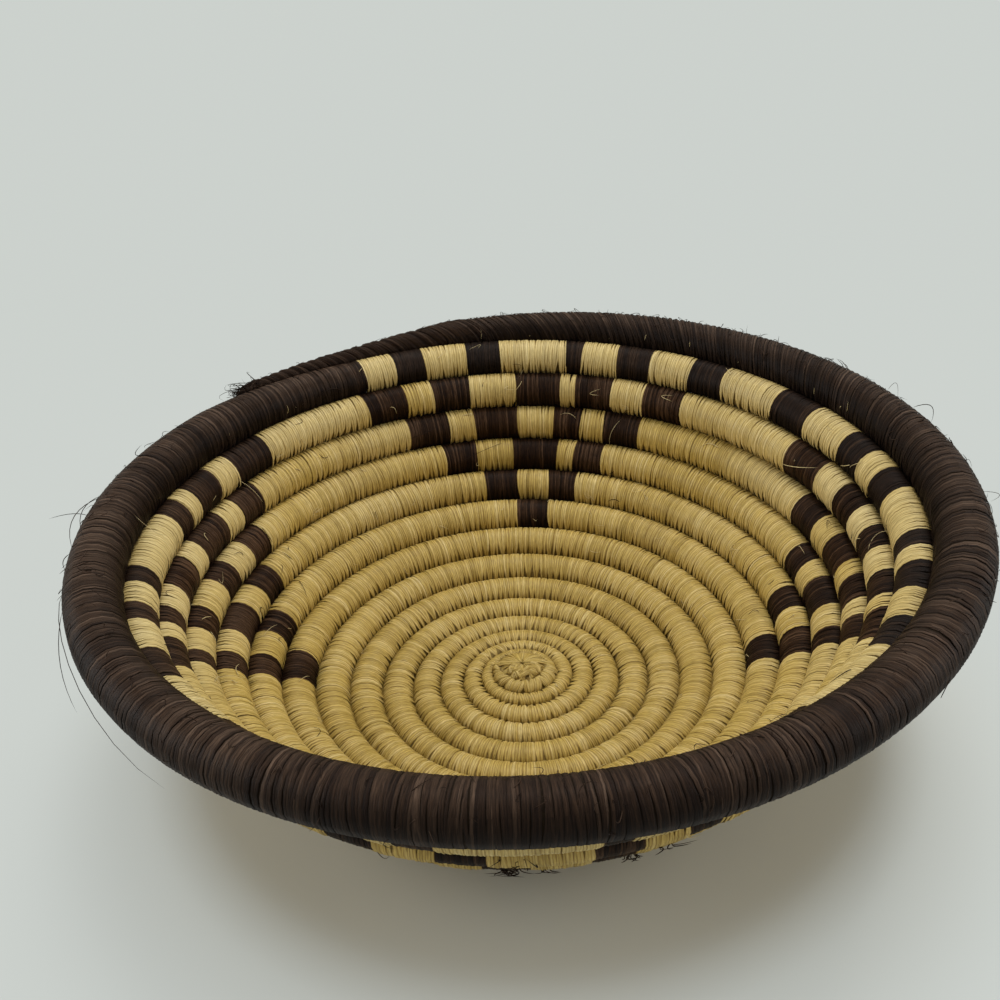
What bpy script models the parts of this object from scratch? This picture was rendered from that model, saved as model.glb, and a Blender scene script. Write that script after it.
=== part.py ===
# Coiled basket bowl with stepped triangles in dark brown
#
# A bundle of grass is wound in one unbroken spiral, from a knot in the middle of the base out to the rim,
# and it is wrapped all the way in natural or dyed strands. A strand that isn't in use is carried along
# inside the wrapping, beside the grass: the brown one on the side of the bowl's inside, the natural one on
# its outside. The bowl stands on the low turns of its base, and its middle is pushed up a little.
#
# Units are metres and +Z is up. The origin is under the middle of the bowl's outline, on the plane that it
# stands on. A place along the coil is counted in steps of one pattern block, 48 to a turn, outward from the
# knot.

import math

import bmesh
import bpy
from mathutils import Vector

# Coil
COIL_WIDTH = 0.0123
START_SHARE = 0.2
GROWTH_TURNS = 3.9
ROW_GAP = 0.0005
FLAT_SHARE = 0.95
SHOULDER_SHARE = 0.55
CORE_SHARE = 0.36

# Knot
KNOT_RADIUS = 0.0077
KNOT_THICKNESS = 0.0040
KNOT_CROWN = 0.0010

# Rim
RIM_WIDTH = 0.0145
RIM_SWELL_STEPS = 4
TAIL_LEAD_STEPS = 3
TAIL_STEPS = 5
TAIL_END_WIDTH = 0.0040
TAIL_TAPER = 0.7
GRASS_END_LEAD = 0.5

# Strands and fits
STRAND_THICKNESS = 0.0008
CLEARANCE = 0.0003
CHANNEL_FLARE = 0.0002
FOOT_CUT_SHARE = 0.1

# Wall, as a chain of round stretches: length of each, and the slope in degrees at its far end
WALL_STRETCHES = [
    (0.0130, -18.0),
    (0.0230, 4.0),
    (0.0425, 35.0),
    (0.0470, 68.0),
    (0.0240, 38.0),
]

# Pattern
QUARTERS = ["left", "front", "right", "back"]
BLOCKS_PER_QUARTER = 12
PLAIN_TURNS = 7
PATTERN_ROWS = 6
BASE_TURNS = 4
STEPS_PER_STATION = 2

# Colours
NATURAL_COLOUR = (0.58, 0.44, 0.16)
BROWN_COLOUR = (0.026, 0.016, 0.013)
GRASS_COLOUR = (0.31, 0.21, 0.08)

STEPS_PER_TURN = len(QUARTERS) * BLOCKS_PER_QUARTER
STEP_ANGLE = 2.0 * math.pi / STEPS_PER_TURN
INSIDE = 1
OUTSIDE = -1


# The step at the middle of a motif's row. The first motif lies half a turn on from the coil's start.
def motif_axis(quarter, row):
    return (PLAIN_TURNS + row - 1 + 0.5) * STEPS_PER_TURN + quarter * BLOCKS_PER_QUARTER - 0.5


# The brown blocks of a motif's row: as many as the row's number, a block's width apart
def brown_blocks(quarter, row):
    middle = motif_axis(quarter, row)
    centres = [middle - (row - 1) + 2 * index for index in range(row)]
    return [(centre - 0.5, centre + 0.5) for centre in centres if centre < RIM_START]


# The last motif's last block is where the coil turns into the rim.
RIM_START = motif_axis(len(QUARTERS) - 1, PATTERN_ROWS) + PATTERN_ROWS - 1.5
BASE_END = BASE_TURNS * STEPS_PER_TURN
PATTERN_START = motif_axis(0, 1) - BLOCKS_PER_QUARTER // 2 - 0.5
TAIL_START = RIM_START + STEPS_PER_TURN - TAIL_LEAD_STEPS
TAIL_END = TAIL_START + TAIL_STEPS


# Half the coil's width along the wall, at a step
def half_width(step):
    if step >= TAIL_START:
        share = min((step - TAIL_START) / TAIL_STEPS, 1.0) ** TAIL_TAPER
        return (RIM_WIDTH + (TAIL_END_WIDTH - RIM_WIDTH) * share) / 2.0
    grown = COIL_WIDTH * (1.0 - (1.0 - START_SHARE) * math.exp(-step / STEPS_PER_TURN / GROWTH_TURNS))
    swell = min(max(step - RIM_START, 0.0) / RIM_SWELL_STEPS, 1.0)
    return (grown + (RIM_WIDTH - grown) * swell) / 2.0


# Radius, height and slope of the wall's middle line, at a distance from the axis measured along it
def wall_point(distance):
    radius = 0.0
    height = 0.0
    slope = 0.0
    for index, (length, end_degrees) in enumerate(WALL_STRETCHES):
        is_last = index == len(WALL_STRETCHES) - 1
        start_degrees = WALL_STRETCHES[index - 1][1] if index else 0.0
        curvature = math.radians(end_degrees - start_degrees) / length
        run = distance if is_last else min(distance, length)
        turned = slope + curvature * run
        radius += (math.sin(turned) - math.sin(slope)) / curvature
        height += (math.cos(slope) - math.cos(turned)) / curvature
        slope = turned
        distance -= run
        if distance <= 0.0:
            break
    return radius, height, slope


# Distance of the coil's middle line from the axis along the wall, station by station. The first turn opens
# evenly round the knot, and each later one is laid against the turn before it.
def lay_coil():
    start = KNOT_RADIUS + ROW_GAP + half_width(0)
    rise = half_width(0) + half_width(STEPS_PER_TURN) + ROW_GAP
    widening = COIL_WIDTH * (1.0 - START_SHARE) / GROWTH_TURNS / 2.0
    bend = widening * (1.0 + math.exp(-1.0 / GROWTH_TURNS)) / 2.0
    laid = {}
    for step in range(0, int(TAIL_END) + 2 * STEPS_PER_STATION, STEPS_PER_STATION):
        turn = step / STEPS_PER_TURN
        if turn <= 1.0:
            laid[step] = start + (rise - bend) * turn + bend * turn * turn
        else:
            before = step - STEPS_PER_TURN
            laid[step] = laid[before] + half_width(before) + half_width(step) + ROW_GAP
    return laid


# A point at a step, so far from the axis along the wall, and raised from it to the bowl's inside
def wall_corner(step, distance, across, raised):
    radius, height, slope = wall_point(distance)
    radius += across * math.cos(slope) - raised * math.sin(slope)
    height += across * math.sin(slope) + raised * math.cos(slope)
    azimuth = (step + 0.5) * STEP_ANGLE
    return Vector((radius * math.cos(azimuth), radius * math.sin(azimuth), height))


# The height at which the lowest turn is cut flat, to stand on
def foot_level(laid):
    lowest = min(laid, key=lambda step: wall_corner(step, laid[step], 0.0, -half_width(step)).z)
    bottom = wall_corner(lowest, laid[lowest], 0.0, -FLAT_SHARE * half_width(lowest)).z
    return bottom + FOOT_CUT_SHARE * 2.0 * half_width(lowest)


# The middle of the bowl's outline, at the foot's level. It lies beside the coil's own centre, because the
# coil opens as it goes round.
def find_origin(laid):
    edge = [wall_corner(step, laid[step], half_width(step), 0.0) for step in laid]
    middle_x = (min(point.x for point in edge) + max(point.x for point in edge)) / 2.0
    middle_y = (min(point.y for point in edge) + max(point.y for point in edge)) / 2.0
    return Vector((middle_x, middle_y, foot_level(laid)))


COIL = lay_coil()
ORIGIN = find_origin(COIL)


# Outlines across the coil, as pairs of across (outward along the wall) and raised (to the bowl's inside).
# side says which side of the grass a wrapping's own strand is carried on.


# The wrapped coil's six corners
def coil_outline(half, side):
    flat = FLAT_SHARE * half * side
    shoulder = SHOULDER_SHARE * half
    return [(half, 0.0), (shoulder, -flat), (-shoulder, -flat), (-half, 0.0), (-shoulder, flat), (shoulder, flat)]


# The grass bundle
def core_outline(half):
    side = CORE_SHARE * half
    return [(side, -side), (side, side), (-side, side), (-side, -side)]


# The hole through a wrapping, with a channel on its far side where the other strand passes
def hole_outline(half, side, has_channel):
    near = CORE_SHARE * half + CLEARANCE
    far = near
    width = near
    if has_channel:
        far += STRAND_THICKNESS + CLEARANCE
        width += CLEARANCE + CHANNEL_FLARE
    return [(near, side * near), (width, -side * far), (-width, -side * far), (-near, side * near)]


# A wrapping's own strand, which lies on the grass and runs on from the edge of the hole
def strand_outline(half, side):
    near = CORE_SHARE * half + CLEARANCE
    edge = near + min(STRAND_THICKNESS, (FLAT_SHARE * half - near) / 2.0)
    return [(-near, side * near), (near, side * near), (near, side * edge), (-near, side * edge)]


# An outline's corners at a place along the coil. Between two stations they lie on the straight lines from
# one to the other, so neighbouring rows stay clear of each other wherever their blocks end.
def corners(place, outline, *choices):
    low = math.floor(place / STEPS_PER_STATION) * STEPS_PER_STATION
    share = (place - low) / STEPS_PER_STATION
    ends = []
    for step in (low, low + STEPS_PER_STATION):
        ends.append([])
        for across, raised in outline(half_width(step), *choices):
            point = wall_corner(step, COIL[step], across, raised) - ORIGIN
            point.z = max(point.z, 0.0)
            ends[-1].append(point)
    return [near.lerp(far, share) for near, far in zip(*ends)]


# A place moved along the coil by a real length
def moved(place, length):
    station = round(place / STEPS_PER_STATION) * STEPS_PER_STATION
    return place + length / (wall_point(COIL[station])[0] * STEP_ANGLE)


# The two ends of a stretch, and the stations between them
def places_between(start, end):
    first = math.floor(start / STEPS_PER_STATION) + 1
    last = math.ceil(end / STEPS_PER_STATION) - 1
    return [index * STEPS_PER_STATION for index in range(first, last + 1)]


def add_ring(shape, points):
    return [shape.verts.new(point) for point in points]


def bridge(shape, ring, other):
    for index in range(len(ring)):
        after = (index + 1) % len(ring)
        shape.faces.new((ring[index], ring[after], other[after], other[index]))


def make_material(name, colour, roughness):
    material = bpy.data.materials.new(name)
    material.use_nodes = True
    material.diffuse_color = (*colour, 1.0)
    shader = material.node_tree.nodes["Principled BSDF"]
    shader.inputs["Base Color"].default_value = (*colour, 1.0)
    shader.inputs["Roughness"].default_value = roughness
    shader.inputs["Metallic"].default_value = 0.0
    return material


def finish(shape, name, material):
    bmesh.ops.recalc_face_normals(shape, faces=shape.faces)
    mesh = bpy.data.meshes.new(name)
    shape.to_mesh(mesh)
    shape.free()
    mesh.materials.append(material)
    mesh.shade_smooth()
    mesh.set_sharp_from_angle(angle=math.radians(40.0))
    item = bpy.data.objects.new(name, mesh)
    bpy.context.scene.collection.objects.link(item)


# The flat end of a sleeve, round its hole, and the loop there that its strand runs on from
def add_sleeve_end(shape, place, outer, hole, side):
    edge = add_ring(shape, corners(place, strand_outline, side)[2:])
    bridge(shape, outer, hole + edge[::-1])
    return [hole[3], hole[0], edge[0], edge[1]]


# A wrapping: sleeves round the grass, joined into one body by the strand that is carried between them
def make_wrapping(name, sleeves, side, has_channel, material):
    shape = bmesh.new()
    strand = None
    strand_from = None
    for start, end in sleeves:
        rings = []
        for place in [start] + places_between(start, end) + [end]:
            outer = add_ring(shape, corners(place, coil_outline, side))
            hole = add_ring(shape, corners(place, hole_outline, side, has_channel))
            rings.append((outer, hole))
        for (outer, hole), (next_outer, next_hole) in zip(rings, rings[1:]):
            bridge(shape, outer, next_outer)
            bridge(shape, hole, next_hole)
        near_loop = add_sleeve_end(shape, start, *rings[0], side)
        if strand:
            for place in places_between(strand_from, start):
                ring = add_ring(shape, corners(place, strand_outline, side))
                bridge(shape, strand, ring)
                strand = ring
            bridge(shape, strand, near_loop)
        else:
            shape.faces.new(near_loop)
        strand = add_sleeve_end(shape, end, *rings[-1], side)
        strand_from = end
    shape.faces.new(strand)
    finish(shape, name, material)


# The grass bundle, one tube from the knot to the tail, inside all the wrappings
def make_core(name, material):
    shape = bmesh.new()
    start = moved(0, CLEARANCE)
    end = TAIL_END - GRASS_END_LEAD
    rings = []
    for place in [start] + places_between(start, end) + [end]:
        rings.append(add_ring(shape, corners(place, core_outline)))
    for ring, other in zip(rings, rings[1:]):
        bridge(shape, ring, other)
    shape.faces.new(rings[0])
    shape.faces.new(rings[-1])
    finish(shape, name, material)


# The knot that the coil starts from. Its edge opens outward with the first turn, and the coil's end
# stands against the step where it closes.
def make_knot(name, material):
    shape = bmesh.new()
    half = KNOT_THICKNESS / 2.0
    middle_up = shape.verts.new(wall_corner(0, 0.0, 0.0, half + KNOT_CROWN) - ORIGIN)
    middle_down = shape.verts.new(wall_corner(0, 0.0, 0.0, -half) - ORIGIN)
    rings = []
    for step in range(0, STEPS_PER_TURN + 1, STEPS_PER_STATION):
        edge = COIL[step] - half_width(step) - ROW_GAP
        shoulder = edge - half * (1.0 - SHOULDER_SHARE)
        points = [
            wall_corner(step, shoulder, 0.0, half),
            wall_corner(step, edge, 0.0, 0.0),
            wall_corner(step, shoulder, 0.0, -half),
        ]
        rings.append(add_ring(shape, [point - ORIGIN for point in points]))
    for ring, other in zip(rings, rings[1:] + rings[:1]):
        shape.faces.new((middle_up, ring[0], other[0]))
        shape.faces.new((ring[0], ring[1], other[1], other[0]))
        shape.faces.new((ring[1], ring[2], other[2], other[1]))
        shape.faces.new((ring[2], middle_down, other[2]))
    finish(shape, name, material)


# A stretch of the coil, less half a clearance at each end
def trimmed(start, end):
    return moved(start, CLEARANCE / 2.0), moved(end, -CLEARANCE / 2.0)


# What is left of a row for the natural wrapping, between the brown blocks
def natural_sleeves(row):
    start = PATTERN_START + (row - 1) * STEPS_PER_TURN
    end = min(start + STEPS_PER_TURN, RIM_START)
    sleeves = []
    for quarter in range(len(QUARTERS)):
        for block_start, block_end in brown_blocks(quarter, row):
            sleeves.append(trimmed(start, block_start))
            start = block_end
    sleeves.append(trimmed(start, end))
    return sleeves


# The least gap between a turn and the one before it, over the facing corners of their outlines
def least_gap():
    least = math.inf
    for step in range(STEPS_PER_TURN, int(TAIL_END) + 1, STEPS_PER_STATION):
        inner = corners(step - STEPS_PER_TURN, coil_outline, INSIDE)
        outer = corners(step, coil_outline, INSIDE)
        for index, facing in ((0, 3), (1, 2), (5, 4)):
            least = min(least, (inner[index] - outer[facing]).length)
    return least


def main():
    for item in list(bpy.data.objects):
        bpy.data.objects.remove(item)

    natural = make_material("natural_straw", NATURAL_COLOUR, 0.6)
    brown = make_material("dyed_brown", BROWN_COLOUR, 0.55)
    grass = make_material("dry_grass", GRASS_COLOUR, 0.8)

    make_knot("start_knot", natural)
    make_core("grass_core", grass)
    base_start = moved(0, CLEARANCE)
    make_wrapping("base_wrapping", [(base_start, moved(BASE_END, -CLEARANCE / 2.0))], OUTSIDE, False, natural)
    make_wrapping("belly_wrapping", [trimmed(BASE_END, PATTERN_START)], OUTSIDE, False, natural)
    for row in range(1, PATTERN_ROWS + 1):
        make_wrapping(f"natural_wrapping_row_{row}", natural_sleeves(row), OUTSIDE, True, natural)
        for quarter, side_name in enumerate(QUARTERS):
            sleeves = [trimmed(start, end) for start, end in brown_blocks(quarter, row)]
            make_wrapping(f"brown_strand_{side_name}_row_{row}", sleeves, INSIDE, True, brown)
    make_wrapping("rim_wrapping", [trimmed(RIM_START, TAIL_START)], INSIDE, False, brown)
    make_wrapping("rim_tail", [(moved(TAIL_START, CLEARANCE / 2.0), TAIL_END)], INSIDE, False, brown)

    print("least gap between turns:", round(least_gap() * 1000.0, 3), "mm")


main()
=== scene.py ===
# Coiled basket bowl with stepped triangles in dark brown: the stitches, the knot in the middle, the rim's
# tapered end and the loose fibres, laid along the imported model's spiral
import math
import bmesh
import bpy
import numpy as np
from mathutils import Matrix, Vector


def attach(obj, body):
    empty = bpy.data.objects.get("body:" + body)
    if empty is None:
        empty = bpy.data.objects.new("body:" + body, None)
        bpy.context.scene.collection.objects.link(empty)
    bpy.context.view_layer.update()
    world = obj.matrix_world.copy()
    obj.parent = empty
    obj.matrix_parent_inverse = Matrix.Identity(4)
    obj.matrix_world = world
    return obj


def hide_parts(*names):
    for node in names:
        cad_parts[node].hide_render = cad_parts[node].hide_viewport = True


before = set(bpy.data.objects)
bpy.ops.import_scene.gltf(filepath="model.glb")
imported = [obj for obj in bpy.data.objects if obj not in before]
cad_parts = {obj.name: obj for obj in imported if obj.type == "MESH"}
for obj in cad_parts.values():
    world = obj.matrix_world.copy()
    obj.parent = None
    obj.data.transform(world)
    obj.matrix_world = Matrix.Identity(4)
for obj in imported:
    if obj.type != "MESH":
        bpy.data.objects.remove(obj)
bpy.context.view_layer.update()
print("packed model loaded")

# The spiral, as the solids have it. Places along it are counted in steps.
coil = {
    "width": 0.0123,  # a turn's width once it is full grown
    "startShare": 0.2,  # width at the knot, as a share of that
    "growthTurns": 3.9,
    "rowGap": 0.0005,
    "flatShare": 0.95,  # height of a turn against its width
    "knotRadius": 0.0077,
    "rimWidth": 0.0145,
    "rimSwellSteps": 4,
    "baseEnd": 192,
    "patternStart": 353,
    "rimStart": 640,
    "tailStart": 685,
    "tailSteps": 5,
    "tailEndWidth": 0.004,
    "tailTaper": 0.7,
    "footCut": 0.1,  # how much of the lowest turn the foot takes off
    "footPress": 0.0008,  # height under which the foot is pressed flat
    # length of each stretch of the wall, and the slope in degrees at its far end
    "wall": [(0.0130, -18.0), (0.0230, 4.0), (0.0425, 35.0), (0.0470, 68.0), (0.0240, 38.0)],
    "wallReach": 0.19,  # how far the wall is worked out, and how finely
    "wallGrain": 0.0001,
}
turnSteps = 48
fineStep = 0.25
stepAngle = 2.0 * math.pi / turnSteps
patternStart, rimStart, tailStart = coil["patternStart"], coil["rimStart"], coil["tailStart"]
tailEnd = tailStart + coil["tailSteps"]
rng = np.random.default_rng(7)
uniform, normal = rng.uniform, rng.normal


def halfWidth(step):
    step = np.asarray(step, dtype=float)
    smaller = (1.0 - coil["startShare"]) * np.exp(-step / turnSteps / coil["growthTurns"])
    grown = coil["width"] * (1.0 - smaller)
    swell = np.clip((step - rimStart) / coil["rimSwellSteps"], 0.0, 1.0)
    width = grown + (coil["rimWidth"] - grown) * swell
    ended = np.clip((step - tailStart) / coil["tailSteps"], 0.0, 1.0) ** coil["tailTaper"]
    return (width + (coil["tailEndWidth"] - width) * ended) / 2.0


def bent(start, curvature, length):
    # radius, height and slope at the end of an arc that starts with these three
    radius, height, slope = start
    turned = slope + curvature * length
    return np.array([radius + (np.sin(turned) - math.sin(slope)) / curvature,
                     height + (math.cos(slope) - np.cos(turned)) / curvature, turned])


def wallCurve():
    # radius, height and slope along the wall's middle line
    far = np.arange(0.0, coil["wallReach"], coil["wallGrain"])
    curve = np.zeros((3, len(far)))
    start, fromFar, fromDegrees = np.zeros(3), 0.0, 0.0
    for length, toDegrees in coil["wall"]:
        curvature = math.radians(toDegrees - fromDegrees) / length
        beyond = far >= fromFar
        curve[:, beyond] = bent(start, curvature, far[beyond] - fromFar)
        start, fromFar, fromDegrees = bent(start, curvature, length), fromFar + length, toDegrees
    return far, *curve


def layTurns():
    # distance of the coil's middle line from the axis, along the wall, at every step
    count = tailEnd + 2 * turnSteps
    half = halfWidth(np.arange(count))
    laid = np.zeros(count)
    rise = half[0] + half[turnSteps] + coil["rowGap"]
    widening = coil["width"] * (1.0 - coil["startShare"]) / coil["growthTurns"] / 2.0
    bend = widening * (1.0 + math.exp(-1.0 / coil["growthTurns"])) / 2.0
    turn = np.arange(turnSteps + 1) / turnSteps
    start = coil["knotRadius"] + coil["rowGap"] + half[0]
    laid[:turnSteps + 1] = start + (rise - bend) * turn + bend * turn * turn
    for step in range(turnSteps + 1, count):
        laid[step] = laid[step - turnSteps] + half[step - turnSteps] + half[step] + coil["rowGap"]
    return laid


wallTable = wallCurve()
laidTurns = layTurns()


def wallPoint(distance):
    return [np.interp(distance, wallTable[0], table) for table in wallTable[1:]]


def coilDistance(step):
    return np.interp(step, np.arange(len(laidTurns)), laidTurns)


def coilPoint(step, across, raised, distance=None):
    # across is outward along the wall, raised is to the bowl's inside
    radius, height, slope = wallPoint(coilDistance(step) if distance is None else distance)
    radius = radius + across * np.cos(slope) - raised * np.sin(slope)
    height = height + across * np.sin(slope) + raised * np.cos(slope)
    azimuth = (np.asarray(step, dtype=float) + 0.5) * stepAngle
    return np.stack([radius * np.cos(azimuth), radius * np.sin(azimuth), height + 0.0 * azimuth], axis=-1)


def coilOrigin():
    # the middle of the bowl's outline, on the plane that it stands on
    steps = np.arange(0, tailEnd + 4, 2)
    edge = coilPoint(steps, halfWidth(steps), 0.0)
    low = steps[coilPoint(steps, 0.0, -halfWidth(steps))[:, 2].argmin()]
    bottom = coilPoint(low, 0.0, -coil["flatShare"] * halfWidth(low))[2]
    middle = (edge.min(axis=0) + edge.max(axis=0)) / 2.0
    return np.array([middle[0], middle[1], bottom + coil["footCut"] * 2.0 * halfWidth(low)])


origin = coilOrigin()


def place(step, across, raised, distance=None):
    point = coilPoint(step, across, raised, distance) - origin
    # the foot is pressed flat, but its strands don't fall into one plane
    low = np.minimum(point[..., 2], coil["footPress"])
    point[..., 2] += coil["footPress"] * np.exp(low / coil["footPress"] - 1.0) - low
    return point


fineSteps = np.arange(0.0, tailEnd + 1.0, fineStep)
fineRadius = np.hypot(*coilPoint(fineSteps, 0.0, 0.0)[:, :2].T)
fineLengths = (fineRadius[1:] + fineRadius[:-1]) / 2.0 * stepAngle * fineStep
fineLength = np.concatenate([[0.0], np.cumsum(fineLengths)])
print("spiral laid,", round(fineLength[-1], 2), "m long")


def stepsLong(length, step):
    # a length along the coil, told in steps
    return length / (np.interp(step, fineSteps, fineRadius) * stepAngle)


# Meshes

mergeWithin = 0.000002


def meshFrom(bm, name):
    mesh = bpy.data.meshes.new(name)
    bm.to_mesh(mesh)
    bm.free()
    return mesh


def repeatMesh(source, count, name):
    bm = bmesh.new()
    for index in range(count):
        bm.from_mesh(source)
    return meshFrom(bm, name)


def pointsOf(mesh):
    points = np.empty(len(mesh.vertices) * 3)
    mesh.vertices.foreach_get("co", points)
    return points.reshape(-1, 3)


def cornersOf(mesh):
    corners = np.empty(len(mesh.loops), dtype=int)
    mesh.loops.foreach_get("vertex_index", corners)
    return corners


def addObject(name, data):
    item = bpy.data.objects.new(name, data)
    bpy.context.scene.collection.objects.link(item)
    return item


def setValues(mesh, label, values):
    mesh.attributes.new(label, "FLOAT", "POINT").data.foreach_set("value", values)


def dressCopies(mesh, points, uv, tones, hues):
    # moves a repeated mesh's copies into place, and gives each its tone and hue
    count, each = len(tones), points.size // len(tones) // 3
    mesh.vertices.foreach_set("co", points.ravel())
    mesh.uv_layers.new(name="strandUv").data.foreach_set("uv", np.tile(uv, (count, 1)).ravel())
    setValues(mesh, "strandTone", np.repeat(tones, each))
    setValues(mesh, "strandHue", np.repeat(hues, each))
    mesh.update()


# Materials

white = (1.0, 1.0, 1.0)


def setInputs(tree, node, inputs):
    # each gets a plain value, or another node's output
    for name, value in inputs.items():
        if isinstance(value, bpy.types.NodeSocket):
            tree.links.new(value, node.inputs[name])
        else:
            node.inputs[name].default_value = value


def addNode(tree, kind, inputs=None, **settings):
    node = tree.nodes.new("ShaderNode" + kind)
    for name, value in settings.items():
        setattr(node, name, value)
    setInputs(tree, node, inputs or {})
    return node.outputs


def newMaterial(name, roughness, specular):
    material = bpy.data.materials.new(name)
    material.use_nodes = True
    tree = material.node_tree
    shader = tree.nodes["Principled BSDF"]
    setInputs(tree, shader, {"Roughness": roughness, "Specular IOR Level": specular})
    return material, tree, shader


def ramp(tree, factor, stops):
    stops = list(stops)
    colour = addNode(tree, "ValToRGB", {"Fac": factor})["Color"]
    elements = colour.node.color_ramp.elements
    while len(elements) < len(stops):
        elements.new(0.5)
    for element, (position, shade) in zip(elements, stops):
        element.position = position
        element.color = (*shade, 1.0)
    return colour


def multiply(tree, first, second):
    inputs = {"Factor": 1.0, "A": first, "B": second}
    return addNode(tree, "Mix", inputs, data_type="RGBA", blend_type="MULTIPLY")["Result"]


def mathNode(tree, operation, first, second):
    return addNode(tree, "Math", {0: first, 1: second}, operation=operation)[0]


def attribute(tree, name):
    return addNode(tree, "Attribute", attribute_name=name)["Fac"]


# Strand finishes. tones run from the darkest strands to the palest, and hue is what the strands turn to: the
# natural ones paler towards the rim, which is painted light, and single brown blocks to black. round is
# painted shade round the coil, from its outer side over the crown at 0.25 to its inner side at 0.5 and back
# underneath: dark in the seams, and on the rim on its inner side and underneath. side is painted shade at a
# strand's edges, streaks are its fibres' darkest and palest, and finish is roughness and specular.
strandLooks = {
    "natural": {
        "tones": [(0.425, 0.300, 0.067), (0.600, 0.436, 0.119), (0.74, 0.585, 0.24)],
        # the pale colour that painted light turns the natural strands to
        "hue": (0.80, 0.70, 0.41),
        # painted shade: darker down in the outer and inner seams
        "round": [(0.0, (0.70, 0.64, 0.48)), (0.10, white), (0.36, white), (0.5, (0.72, 0.66, 0.50)),
                  (0.62, white), (1.0, (0.70, 0.64, 0.48))],
        "side": (0.64, 0.56, 0.40),
        "streaks": [(0.70, 0.67, 0.62), (1.14, 1.14, 1.16)],
        "finish": (0.5, 0.3),
    },
    "brown": {
        "tones": [(0.013, 0.006, 0.003), (0.028, 0.0135, 0.0062), (0.068, 0.038, 0.021)],
        "hue": (0.013, 0.010, 0.009),
        # painted shade: darker in the seams, a little lighter over the crown
        "round": [(0.0, (0.4, 0.38, 0.36)), (0.12, (1.05, 1.05, 1.05)), (0.29, (1.05, 1.05, 1.05)),
                  (0.42, (0.45, 0.42, 0.4)), (0.5, (0.35, 0.33, 0.3)), (0.62, white),
                  (1.0, (0.4, 0.38, 0.36))],
        "side": (0.54, 0.52, 0.50),
        "streaks": [(0.38, 0.35, 0.32), (1.75, 1.7, 1.64)],
        "finish": (0.48, 0.055),
    },
    "rim": {
        "tones": [(0.015, 0.0075, 0.0045), (0.036, 0.0205, 0.0125), (0.100, 0.066, 0.046)],
        "hue": (0.046, 0.027, 0.018),
        # painted shade: dark on the rim's inner side and over its lower, outer half
        "round": [(0.0, (0.56, 0.54, 0.52)), (0.08, (0.95, 0.94, 0.93)), (0.17, (1.06, 1.06, 1.06)),
                  (0.25, (0.78, 0.77, 0.76)), (0.33, (0.36, 0.34, 0.33)), (0.5, (0.22, 0.2, 0.2)),
                  (0.66, (0.7, 0.68, 0.66)), (0.80, (0.56, 0.54, 0.52)), (0.90, (0.42, 0.4, 0.38)),
                  (1.0, (0.56, 0.54, 0.52))],
        "side": (0.62, 0.61, 0.60),
        "streaks": [(0.46, 0.43, 0.40), (1.56, 1.53, 1.48)],
        "finish": (0.5, 0.07),
    },
}
toneMiddle = 0.45  # tone of an ordinary strand
fibreGrain = {
    "stretch": (3.2, 9.0, 1.0),  # across a strand and along it
    "seeds": 970.0,  # so that each strand's fibres differ
    "scale": 1.6,
    "detail": 3.0,
    "streakEnds": (0.3, 0.7),
    "bump": 0.5,
    "bumpHeight": 0.00025,
}
# deep is the dark the grass goes to under dyed strands and, as painted shade, in the seams
grassLook = {"scale": 900.0, "tones": [(0.20, 0.125, 0.03), (0.38, 0.27, 0.09)],
             "deep": (0.05, 0.035, 0.03), "finish": (0.85, 0.2)}


def noise(tree, vector, scale):
    inputs = {"Vector": vector, "Scale": scale, "Detail": fibreGrain["detail"]}
    return addNode(tree, "TexNoise", inputs)["Fac"]


def strandMaterial(name, look):
    # u runs across a strand and v round the coil, a whole turn for each unit
    material, tree, shader = newMaterial(name, *look["finish"])
    uv = addNode(tree, "UVMap", uv_map="strandUv")["UV"]
    tone = attribute(tree, "strandTone")
    stretched = addNode(tree, "Mapping", {"Vector": uv, "Scale": fibreGrain["stretch"]})["Vector"]
    seed = addNode(tree, "CombineXYZ", {"Z": mathNode(tree, "MULTIPLY", tone, fibreGrain["seeds"])})["Vector"]
    shifted = addNode(tree, "VectorMath", {0: stretched, 1: seed}, operation="ADD")["Vector"]
    fibres = noise(tree, shifted, fibreGrain["scale"])

    inputs = {"Factor": attribute(tree, "strandHue"), "B": (*look["hue"], 1.0),
              "A": ramp(tree, tone, zip((0.0, toneMiddle, 1.0), look["tones"]))}
    colour = addNode(tree, "Mix", inputs, data_type="RGBA")["Result"]
    colour = multiply(tree, colour, ramp(tree, fibres, zip(fibreGrain["streakEnds"], look["streaks"])))
    split = addNode(tree, "SeparateXYZ", {"Vector": uv})
    # painted shade at a strand's edges, where it meets the next, and then painted shade round the coil
    sides = [(0.08, look["side"]), (0.36, white), (0.64, white), (0.92, look["side"])]
    colour = multiply(tree, colour, ramp(tree, split["X"], sides))
    colour = multiply(tree, colour, ramp(tree, split["Y"], look["round"]))
    inputs = {"Strength": fibreGrain["bump"], "Distance": fibreGrain["bumpHeight"], "Height": fibres}
    setInputs(tree, shader, {"Base Color": colour, "Normal": addNode(tree, "Bump", inputs)["Normal"]})
    return material


def grassMaterial():
    material, tree, shader = newMaterial("dryGrassBundle", *grassLook["finish"])
    stems = noise(tree, addNode(tree, "TexCoord")["Object"], grassLook["scale"])
    colour = ramp(tree, stems, zip(fibreGrain["streakEnds"], grassLook["tones"]))
    shade = ramp(tree, attribute(tree, "bundleDyeAndShade"), [(0.0, white), (1.0, grassLook["deep"])])
    setInputs(tree, shader, {"Base Color": multiply(tree, colour, shade)})
    return material


materials = {name: strandMaterial(name + "Strand", look) for name, look in strandLooks.items()}
materials["grass"] = grassMaterial()


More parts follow.
